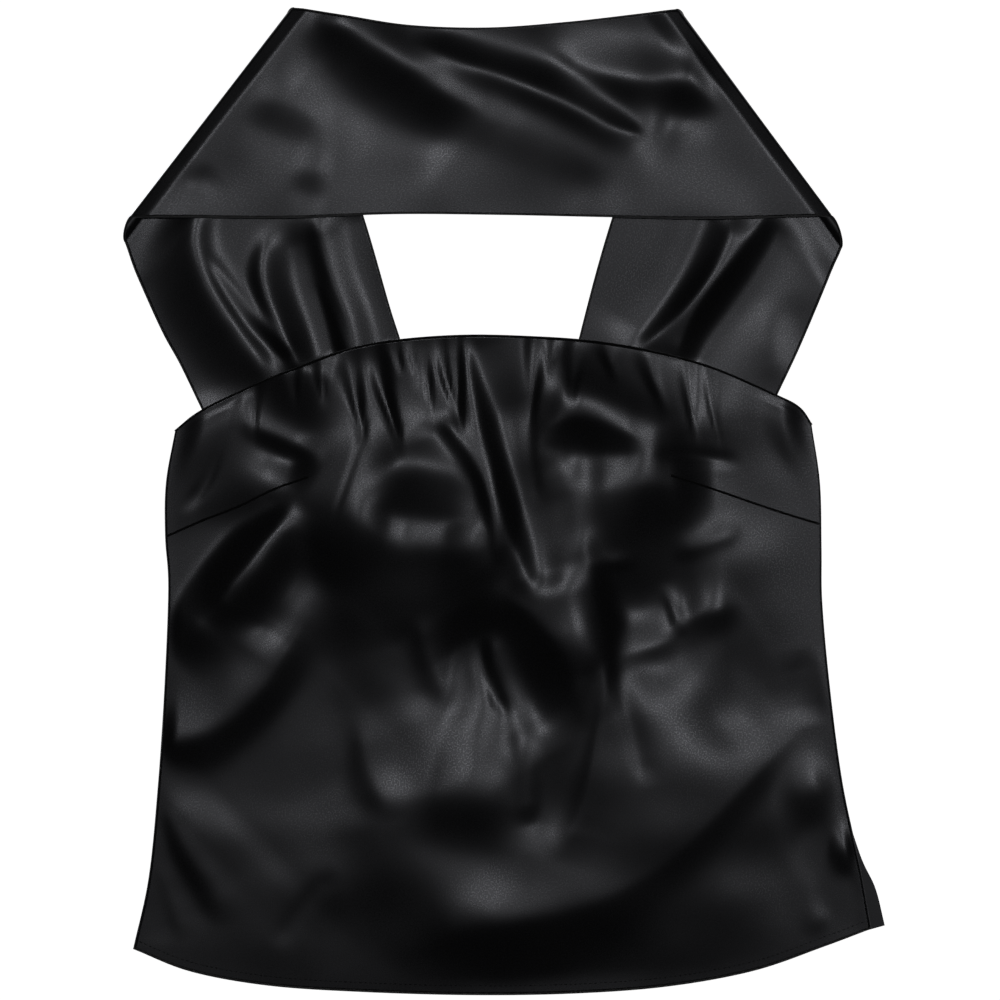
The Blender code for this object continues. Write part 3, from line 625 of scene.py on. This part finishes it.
# %% Gathers
NECK_TOP = 107.0        # the gathered edge as a parabola: its height,
NECK_BEND = 0.00128     # its bend
NECK_MIDDLE = -5.0      # and its middle
PAST_EDGE = 8.0         # a gather starts this far beyond the edge
GATHER_DEPTH = 0.6      # share of the depth in the table that the cloth takes
GATHER_FADE = 0.8       # share of its length over which a gather's ends die away
GATHER_FOOT = 0.35      # share of its width that it keeps at its foot
EARLY_DRIFT = 0.35      # share of its sideways drift that it has
EARLY_LENGTH = 0.45     # after this share of its length


def gather_heights(x, y, to_top):
    """All gathers, narrow at their feet and full at the edge."""
    z = np.zeros(np.shape(x))
    for edge_x, length, width, depth, drift in GATHERS:
        edge_y = NECK_TOP - NECK_BEND * (edge_x - NECK_MIDDLE) ** 2
        line = [(edge_x, edge_y + PAST_EDGE),
                (edge_x + EARLY_DRIFT * drift, edge_y - EARLY_LENGTH * length),
                (edge_x + drift, edge_y - length)]
        taper = width * (GATHER_FOOT + (1 - GATHER_FOOT) * smooth(1 - to_top / length))
        row = ("gather", -GATHER_DEPTH * depth, taper, taper, line)
        z = z + ridge_height(x, y, row, GATHER_FADE * length)
    return z


print("deepest gather", GATHER_DEPTH * max(row[3] for row in GATHERS), "mm")

# %% Front surface
SEAM_GAP = 0.3          # mm between the solids where they are sewn
CLEAR = 0.2             # more room over the straps
FRONT_PUFF = 6.0        # rise of the front between its seams
SEAM_FADE = 12.0        # folds die away this close to a side seam
HEM_FADE = 20.0         # and this close to the hem,
SEAM_SHARE = 0.2        # but not wholly
SLACK_FADE = 60.0       # the slack dies away more slowly
OVER_STRAPS = 64.0      # below the top edge, where the front comes down from the straps behind it,
STRAPS_FADE = 50.0      # over this much,
STRAPS_SIDE = 20.0      # and over this much beside the side seams
FAR_FROM_TURN = 60.0    # the tucked ends of the straps lie at least this far from their turns


def front_height(x, y):
    """Middle surface of the front panel."""
    to_left, to_right, to_hem, to_top = sides(x, y)
    z = folds(x, y, FRONT_SLOPES, FRONT_RIDGES) + gather_heights(x, y, to_top)
    for distance, over in ((to_left, SEAM_FADE), (to_right, SEAM_FADE), (to_hem, HEM_FADE)):
        z = z * smooth(SEAM_SHARE + distance / over)
    across = np.clip(to_left / (to_left + to_right), 0, 1)
    up = np.clip(to_hem / (to_hem + to_top), 0, 1)
    z = z + FRONT_PUFF * np.sin(math.pi * across) * (1 - (1 - up) ** 3)
    slack = swell(x, y)
    for distance in (to_left, to_right, to_hem):
        slack = slack * smooth(distance / SLACK_FADE)
    lowest = 1.5 * WALL + SEAM_GAP
    near = smooth((OVER_STRAPS - to_top) / STRAPS_FADE)
    for distance in (to_left, to_right):
        near = near * smooth(distance / STRAPS_SIDE)
    strap = strap_height(x, y, np.full(np.shape(x), FAR_FROM_TURN)) - lowest
    level = lowest + (WALL + SEAM_GAP + CLEAR + np.maximum(strap, 0)) * near
    return keep_above(lowest + z + slack, level, REST_SOFT)


middle_height = front_height(np.zeros(1), np.full(1, -120.0))[0]
print("middle of the front at", round(float(middle_height), 1), "mm")

# %% [markdown]
# ## Cloth from a grid
# Cloth is a grid of squares before it is anything else.  Blender makes the flat grid; each of its
# points is then moved to its place on the folded surface, and Solidify gives the sheet its wall.

# %% Grid helper
CLOTH = 0.8             # mm; thickness of the shown cloth, thinner than the solid it stands for


def cloth_grid(name, points, flat_map):
    """A grid of cloth from rows of points in mm, with its flat places in metres as a UV map."""
    rows, columns = points.shape[0] - 1, points.shape[1] - 1
    bm = bmesh.new()
    bmesh.ops.create_grid(bm, x_segments=columns, y_segments=rows, size=0.5)
    mesh = bpy.data.meshes.new(name)
    bm.to_mesh(mesh)
    bm.free()
    flat = np.empty(len(mesh.vertices) * 3)
    mesh.vertices.foreach_get("co", flat)
    flat = flat.reshape(-1, 3) + 0.5
    i = np.rint(flat[:, 0] * columns).astype(int)
    j = np.rint(flat[:, 1] * rows).astype(int)
    placed = (points[j, i] + (SHIFT_X, SHIFT_Y, 0)) * MM
    mesh.vertices.foreach_set("co", placed.ravel())
    corner = np.empty(len(mesh.loops), int)
    mesh.loops.foreach_get("vertex_index", corner)
    uv = mesh.uv_layers.new(name="cloth")
    uv.data.foreach_set("uv", flat_map[j, i][corner].ravel())
    mesh.shade_smooth()
    mesh.update()
    piece = bpy.data.objects.new(name, mesh)
    bpy.context.scene.collection.objects.link(piece)
    wall = piece.modifiers.new("wall", "SOLIDIFY")
    wall.thickness = CLOTH * MM
    wall.offset = 0.0
    wall.use_even_offset = False
    print(name, len(mesh.polygons), "squares")
    return piece


print("cloth", CLOTH, "mm thick")

# %% [markdown]
# ### Flat grids
# Each piece starts flat, as a grid fitted into its outline.  Cutting a square grid with a Boolean
# would leave slivers along the edge, so the rows bend to follow the four edges instead, which is
# called a Coons patch.

# %% Flat grid
def coons(bottom, top, left, right, u, v):
    """A flat sheet of points inside four edges."""
    low, high = along(bottom, u), along(top, u)
    near, far = along(left, v), along(right, v)
    uu, vv = (m[..., None] for m in np.meshgrid(u, v))
    corners = ((1 - uu) * (1 - vv) * low[0] + uu * (1 - vv) * low[-1]
               + (1 - uu) * vv * high[0] + uu * vv * high[-1])
    return ((1 - vv) * low[None] + vv * high[None] + (1 - uu) * near[:, None]
            + uu * far[:, None] - corners)


low, high = ([(x, y) for x in (0, 1)] for y in (0, 1))
near, far = ([(x, y) for y in (0, 1)] for x in (0, 1))
patch_middle = coons(low, high, near, far, np.array([0.5]), np.array([0.5]))
print("middle of a unit patch", patch_middle.ravel())

# %% [markdown]
# ### A strip that turns over
# The strip is ruled straight across, like a ribbon, because cloth that turns over bends one way
# only.  Its rulings climb the strap, lean until they lie along the turn, and go round it as half
# a circle.  A cloth simulation would fold it too, but not along the line that the photo shows.

# %% Strip grid
LEAN_FROM = 0.80        # share of a strap's length from which its rulings lean to meet the turn


def inward_from(line, side):
    """The level direction from a turned end into the cloth."""
    e = np.array(line[-1], float) - np.array(line[0], float)
    e /= math.hypot(*e)
    return np.array([e[1], -e[0]]) if side == "left" else np.array([-e[1], e[0]])


def strap_and_turn(side, stops, turn_steps, w):
    """Rows of middle-surface points from a strap's tucked end, up it and round its turn."""
    outer_line, inner_line, turn, top = ((LEFT_OUTER, LEFT_INNER, LEFT_TURN, LEFT_TURN_TOP)
                                         if side == "left" else
                                         (RIGHT_OUTER, RIGHT_INNER, RIGHT_TURN, RIGHT_TURN_TOP))
    turn, top = np.array(turn, float), np.array(top, float)
    inward = inward_from(turn, side)
    start = turn + inward * (TURN_RADIUS + WALL / 2)
    ends = np.stack([along(outer_line, stops), along(inner_line, stops)])
    rows = []
    for k in range(len(stops) - 1):
        late = smooth((stops[k] - LEAN_FROM) / (1 - LEAN_FROM))
        a, b = ends[:, k] + late * (start - ends[:, -1])
        flat = a + (b - a) * w
        clear = np.maximum((flat - turn[0]) @ inward - TURN_RADIUS, 0)
        rows.append(np.column_stack([flat, strap_height(flat[:, 0], flat[:, 1], clear)]))
    for k in range(turn_steps + 1):
        angle = math.pi * k / turn_steps
        risen = (1 - math.cos(angle)) / 2
        within = TURN_RADIUS * (1 - math.sin(angle)) + WALL / 2
        a, b = turn + risen * (top - turn) + inward * within
        z = WALL / 2 + 2 * TURN_RADIUS * risen
        rows.append(np.column_stack([a + (b - a) * w, np.full(len(w), z)]))
    return rows


def strip_grid(stops, turn_steps, band_steps, across):
    """The whole strip: left strap, its turn, the band, the right turn and the right strap."""
    w = np.linspace(0, 1, across + 1)[:, None]
    left = strap_and_turn("left", stops, turn_steps, w)
    right = strap_and_turn("right", stops, turn_steps, w)
    t = np.linspace(0, 1, band_steps + 1)
    band = []
    for low, high in zip(along(BAND_BOTTOM, t), along(BAND_TOP, t)):
        flat = low + (high - low) * w
        clear = [(flat - rows[-1][0, :2]) @ inward_from(rows[-1][:, :2], side)
                 for rows, side in ((left, "left"), (right, "right"))]
        clear = np.maximum(np.minimum(*clear), 0)
        band.append(np.column_stack([flat, band_height(flat[:, 0], flat[:, 1], clear)]))
    return np.array(left + band + right[::-1]).transpose(1, 0, 2)


print("left turn leads inward along", inward_from(LEFT_TURN, "left").round(2))

# %% [markdown]
# ### The front
# The front carries nearly all that the photo shows.  It could be a coarse grid with a Subdivision
# modifier, but the narrow gathers would melt; squares of about 2 mm are small enough to hold them.
# The UV map keeps where each point lay on the flat cloth, so that the weave follows the folds.

# %% Front shell
FRONT_COLUMNS = 212
FRONT_ROWS = 196

front_flat = coons(HEM, TOP_EDGE, LEFT_SIDE[::-1], RIGHT_SIDE[::-1],
                   np.linspace(0, 1, FRONT_COLUMNS + 1), np.linspace(0, 1, FRONT_ROWS + 1))
front_z = front_height(front_flat[..., 0], front_flat[..., 1])
front_points = np.dstack([front_flat, front_z])
front = cloth_grid("satin_front", front_points, front_flat * MM)

# %% [markdown]
# ### The back
# The back lies level on the table under the front, and only a narrow stretch of it shows, beside
# the right side seam down to the hem.  It could be left out but for that corner; as the piece that
# the garment rests on it is whole, with a flat underside.

# %% Back shell
BACK_INSET = 3.0        # mm inside the front's left side
BACK_CORNER_Y = 40.0    # where its left side ends at the top
BACK_TOP_SHARE = 0.985  # its hidden top edge is a little narrower than the front's,
BACK_TOP_DROP = 9.0     # and this much lower
BACK_HEM_LIFT = 2.0     # its hem keeps this far inside the front's
BACK_COLUMNS = 120
BACK_ROWS = 100
BORDER = 0.001          # share of the back taken by its outermost squares, for a crisp rim


def bordered(steps):
    """Even stations from 0 to 1 with one more close inside each end."""
    return np.concatenate([[0], np.linspace(BORDER, 1 - BORDER, steps - 1), [1]])


back_left = [(x + BACK_INSET, y) for x, y in LEFT_SIDE]
back_left[0] = (back_left[0][0], BACK_CORNER_Y)
back_left[-1] = BACK_HEM_LEFT
back_top = [(x * BACK_TOP_SHARE, y - BACK_TOP_DROP) for x, y in TOP_EDGE]
back_top[0] = back_left[0]
back_top[-1] = BACK_RIGHT[0]
back_hem = [BACK_HEM_LEFT] + [(x, y + BACK_HEM_LIFT) for x, y in HEM[1:-1]] + BACK_HEM_RIGHT
back_flat = coons(back_hem, back_top, back_left[::-1], BACK_RIGHT[::-1],
                  bordered(BACK_COLUMNS), bordered(BACK_ROWS))
back_points = np.dstack([back_flat, np.full(back_flat.shape[:2], 0.5 * CLOTH)])
back = cloth_grid("satin_back", back_points, back_flat * MM)

# %% [markdown]
# ### The strip
# One sheet makes the left strap, the crossing band and the right strap.  Three pieces would be
# quicker, but they would need two false seams: here the rulings run on round both turns.

# %% Strip shell
STRAP_RULINGS = 80
TURN_RULINGS = 12
BAND_RULINGS = 200
STRIP_ACROSS = 80
STRIP_WIDTH = 150       # mm; width of the double strip, for its weave

strip_points = strip_grid(np.linspace(0, 1, STRAP_RULINGS + 1), TURN_RULINGS, BAND_RULINGS,
                          STRIP_ACROSS)
w = np.linspace(0, 1, STRIP_ACROSS + 1)[:, None]
steps = np.linalg.norm(np.diff(strip_points, axis=1), axis=2).mean(axis=0)
run = np.concatenate([[0], np.cumsum(steps)])
strip_map = np.dstack([np.broadcast_to(run, strip_points.shape[:2]),
                       np.broadcast_to(STRIP_WIDTH * w, strip_points.shape[:2])]) * MM
strip = cloth_grid("satin_strip", strip_points, strip_map)
print("strip", round(run[-1]), "mm long as shown")

# %% [markdown]
# ## Edges, seams and darts
# A garment is held by its lines: turned edges, two side seams and two bust darts.  Each one is a
# narrow grid rolled into a rod and laid half sunk along the cloth's own points.  A line painted in
# the material would be quicker, but it would be gone from a low angle.

# %% Rod helper
ROD_SIDES = 8
WELD = 0.00001          # metres; closer points of a rod's seam become one


def rod(name, line, wide, high):
    """A closed rod along points in mm, with its half width and half height."""
    line = np.array(line, float)
    last = len(line) - 1
    forward = np.gradient(line, axis=0)
    sideways = np.cross(forward, (0, 0, 1.0))
    sideways /= np.linalg.norm(sideways, axis=1, keepdims=True)
    upward = np.cross(sideways, forward)
    upward /= np.linalg.norm(upward, axis=1, keepdims=True)
    bm = bmesh.new()
    bmesh.ops.create_grid(bm, x_segments=last, y_segments=ROD_SIDES, size=0.5)
    for vert in bm.verts:
        i = round((vert.co.x + 0.5) * last)
        turn = 2 * math.pi * round((vert.co.y + 0.5) * ROD_SIDES) / ROD_SIDES
        point = (line[i] + wide * math.cos(turn) * sideways[i]
                 + high * math.sin(turn) * upward[i])
        vert.co = (point + (SHIFT_X, SHIFT_Y, 0)) * MM
    bmesh.ops.remove_doubles(bm, verts=bm.verts, dist=WELD)
    bmesh.ops.holes_fill(bm, edges=[edge for edge in bm.edges if edge.is_boundary])
    bmesh.ops.recalc_face_normals(bm, faces=bm.faces)
    mesh = bpy.data.meshes.new(name)
    bm.to_mesh(mesh)
    bm.free()
    mesh.shade_smooth()
    piece = bpy.data.objects.new(name, mesh)
    bpy.context.scene.collection.objects.link(piece)
    print(name, "rod,", last, "lengths")
    return piece


def inset(edge, inner, distance):
    """An edge moved towards a neighbouring row of points."""
    way = inner - edge
    return edge + distance * way / np.linalg.norm(way, axis=1, keepdims=True)


def on_front(points, count, lift):
    """A line laid on the front's upper face."""
    x, y = along(points, np.linspace(0, 1, count)).T
    return np.column_stack([x, y, front_height(x, y) + CLOTH / 2 + lift])


print("rods have", ROD_SIDES, "sides")

# %% [markdown]
# ### Turned edges
# The hem, the gathered top edge and both long edges of the strip are turned under, so the cloth
# ends in a round double edge and not in a cut.  Bevelling the sheet's rim would round it too, but
# not thicken it.  The rod keeps inside the outline.

# %% Turned edges
EDGE_WIDE = 0.8         # mm; half width
EDGE_HIGH = 0.65        # half height on the front
STRIP_EDGE_HIGH = 0.5   # the strip's edges are pressed flatter

# the top edge's rod is later given the near-black matt material: painted shade along the gathered
# edge, over its seam
top_edge = rod("front_top_edge", inset(front_points[-1], front_points[-3], EDGE_WIDE),
               EDGE_WIDE, EDGE_HIGH)
front_hem = rod("front_hem", inset(front_points[0], front_points[2], EDGE_WIDE),
                EDGE_WIDE, EDGE_HIGH)
low_edge = rod("strip_low_edge", inset(strip_points[0], strip_points[3], EDGE_WIDE),
               EDGE_WIDE, STRIP_EDGE_HIGH)
high_edge = rod("strip_high_edge", inset(strip_points[-1], strip_points[-4], EDGE_WIDE),
                EDGE_WIDE, STRIP_EDGE_HIGH)

# %% [markdown]
# ### Side seams
# Front and back meet in a seam down each side.  The two sheets could be welded into one mesh, but
# then their edges could no longer be moved apart.  A rod fills the little step between the raised
# front and the back that lies on the table.

# %% Side seams
SEAM_HEIGHT = 1.2       # mm above the table
SEAM_INSET = 1.4        # inside the outline
SEAM_WIDE = 1.0         # half width
SEAM_HIGH = 0.75        # half height
SEAM_STATIONS = np.linspace(0.02, 0.99, 90)     # shares of the side's length


def side_seam(name, points, inward):
    """The joined edges of front and back."""
    x, y = along(points, SEAM_STATIONS).T
    line = np.column_stack([x + inward, y, np.full(len(x), SEAM_HEIGHT)])
    return rod(name, line, SEAM_WIDE, SEAM_HIGH)


left_seam = side_seam("left_side_seam", LEFT_SIDE, SEAM_INSET)
right_seam = side_seam("right_side_seam", RIGHT_SIDE, -SEAM_INSET)

# %% [markdown]
# ### Bust darts
# A dart is a wedge of cloth folded away to make room for the bust.  From outside it is one fine
# dark line from the side seam to the high point: its seam and the shade in its crease.  Cutting the
# wedge out of the sheet would be the tailor's way; here a slim rod, half sunk in the cloth, paints
# that line in a near-black matt material.

# %% Bust darts
DART_LEFT = [(-215.5, -22), (-193, -12), (-170, -3), (-147, 8), (-125, 16)]
DART_RIGHT = [(202, -14), (182, -8), (158, 0), (132, 9), (107, 17)]
DART_WIDE = 0.75        # mm; half width
DART_HIGH = 0.4         # half height
DART_LIFT = 0.05
DART_POINTS = 60

# each dart rod is painted shade of the dart's crease, a near-black matt line over its seam
left_dart = rod("left_dart", on_front(DART_LEFT, DART_POINTS, DART_LIFT), DART_WIDE, DART_HIGH)
right_dart = rod("right_dart", on_front(DART_RIGHT, DART_POINTS, DART_LIFT), DART_WIDE, DART_HIGH)

# %% [markdown]
# ### Hem stitches
# The hem is held by one row of small stitches.  An Array modifier along a curve could repeat one,
# but it stretches them in the bends.  Here one stitch is a ball, squeezed to a grain of rice, and a
# loop sets one after the other along the line.

# %% Hem stitches
HEM_WIDTH = 6.0         # mm from the edge
STITCH_PITCH = 3.2
STITCH_END = 4.0        # where the row starts and ends
STITCH = (1.05, 0.26, 0.2)      # half length, half width, half height

hem_line = inset(front_points[0], front_points[3], HEM_WIDTH)[:, :2]
hem_run = np.concatenate([[0], np.cumsum(np.hypot(*np.diff(hem_line, axis=0).T))])
stitch_at = np.arange(STITCH_END, hem_run[-1] - STITCH_END, STITCH_PITCH)
stitch_x, stitch_y = (np.interp(stitch_at, hem_run, hem_line[:, k]) for k in (0, 1))
stitch_z = front_height(stitch_x, stitch_y) + CLOTH / 2
stitch_points = np.column_stack([stitch_x, stitch_y, stitch_z])
stitch_ways = np.gradient(stitch_points, axis=0)
bm = bmesh.new()
for point, way in zip(stitch_points, stitch_ways):
    turned = Vector(way).to_track_quat("X", "Z").to_matrix().to_4x4()
    place = Matrix.Translation((point + (SHIFT_X, SHIFT_Y, 0)) * MM) @ turned
    size = Matrix.Diagonal([half * MM for half in STITCH] + [1])
    bmesh.ops.create_uvsphere(bm, u_segments=6, v_segments=4, radius=1.0, matrix=place @ size)
stitch_mesh = bpy.data.meshes.new("hem_stitches")
bm.to_mesh(stitch_mesh)
bm.free()
stitch_mesh.shade_smooth()
stitches = bpy.data.objects.new("hem_stitches", stitch_mesh)
bpy.context.scene.collection.objects.link(stitches)
print(len(stitch_at), "stitches")

# %% [markdown]
# ## Satin
# Black polyester satin is nearly black itself; what is seen is what its long float threads mirror.
# A bump map could stand for the weave, but seen from here it looks like leather.  So two shaders
# are mixed by a fine noise: glossy floats, and duller specks where the threads are tied down.  A
# slow second noise makes some stretches a little softer than others, as handled cloth is.

# %% Satin material
DYED_BLACK = (0.0045, 0.0045, 0.005, 1)
COOL_SHINE = (0.92, 0.93, 1.0, 1)
GRAIN_SCALE = (1000, 900, 1)    # specks in a metre, along and across the cloth
CLOUD_SCALE = 22.0              # soft patches in a metre
FLOAT_ROUGH = 0.215
CLOUD_ROUGH = 0.10              # how much the patches change it
TIED_SHARE = 0.33               # mean share of the dull specks,
TIED_CONTRAST = 1.6             # and how clearly they stand out
TIE_ROUGH = 0.31
TIE_SHINE = 0.36


def satin(name):
    """Mirror-like float threads, with duller specks where they are tied down."""
    material, floats, node = new_material(name)
    tree = material.node_tree
    cloth = node.node("ShaderNodeUVMap", {"uv_map": "cloth"})
    fine = node.node("ShaderNodeMapping", inputs={"Vector": cloth, "Scale": GRAIN_SCALE})
    grain = node.node("ShaderNodeTexNoise", inputs={"Vector": fine, "Scale": 1.0, "Detail": 2.0})
    cloud = node.node("ShaderNodeTexNoise",
                      inputs={"Vector": cloth, "Scale": CLOUD_SCALE, "Detail": 3.0})
    rough = FLOAT_ROUGH + CLOUD_ROUGH * (cloud - 0.5)
    tied = TIED_SHARE + TIED_CONTRAST * (grain - 0.5)
    tree.links.new(rough.link, floats.inputs["Roughness"])
    ties = tree.nodes.new("ShaderNodeBsdfPrincipled")
    ties.inputs["Roughness"].default_value = TIE_ROUGH
    ties.inputs["Specular IOR Level"].default_value = TIE_SHINE
    for shader in (floats, ties):
        shader.inputs["Base Color"].default_value = DYED_BLACK
        shader.inputs["Specular Tint"].default_value = COOL_SHINE
    cloth_look = node.node("ShaderNodeMixShader", inputs={0: tied})
    mixer = cloth_look.link.node
    tree.links.new(floats.outputs["BSDF"], mixer.inputs[1])
    tree.links.new(ties.outputs["BSDF"], mixer.inputs[2])
    tree.links.new(cloth_look.link, tree.nodes["Material Output"].inputs["Surface"])
    return material


black_satin = satin("black_satin")
for piece, node_name in ((front, "front_panel"), (back, "back_panel"), (strip, "shoulder_band")):
    piece.data.materials.append(black_satin)
    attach(piece, "root")
    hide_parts(node_name)

# %% [markdown]
# ### Thread, painted crease shade and turned edges
# The darts and the gathered top edge are drawn as dark lines in a near-black matt material.  This
# is painted shade of their creases, laid over their seams.  The hem stitches, which are thread,
# share it.  Cloth that is folded over at an edge has lost a little of its shine.  Both could have
# their own weave; for lines this thin a plain shader each is enough.

# %% Thread, painted crease shade and edges
# near-black and matt: painted shade of the dart and top-edge creases, and the stitches' thread
# colour
THREAD_AND_SHADE_BLACK = (0.002, 0.002, 0.0022, 1)
THREAD_AND_SHADE_ROUGH = 0.6
THREAD_AND_SHADE_SHINE = 0.12
EDGE_ROUGH = 0.3

thread_and_shade, thread_and_shade_shader, _ = new_material("thread_and_painted_shade")
thread_and_shade_shader.inputs["Base Color"].default_value = THREAD_AND_SHADE_BLACK
thread_and_shade_shader.inputs["Roughness"].default_value = THREAD_AND_SHADE_ROUGH
thread_and_shade_shader.inputs["Specular IOR Level"].default_value = THREAD_AND_SHADE_SHINE
edge_satin, edge_shader, _ = new_material("edge_satin")
edge_shader.inputs["Base Color"].default_value = DYED_BLACK
edge_shader.inputs["Roughness"].default_value = EDGE_ROUGH

on_front_pieces = [top_edge, front_hem, left_seam, right_seam, left_dart, right_dart, stitches]
on_strip_pieces = [low_edge, high_edge]
# the darts and the top edge get the painted crease shade, the stitches their thread colour
thread_and_shade_pieces = [left_dart, right_dart, stitches, top_edge]
for piece in on_front_pieces + on_strip_pieces:
    piece.data.materials.append(thread_and_shade if piece in thread_and_shade_pieces else edge_satin)
    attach(piece, "root")

print("materials:", black_satin.name, thread_and_shade.name, edge_satin.name)

# %% [markdown]
# ## All three sheets laid down

print("three sheets laid down")
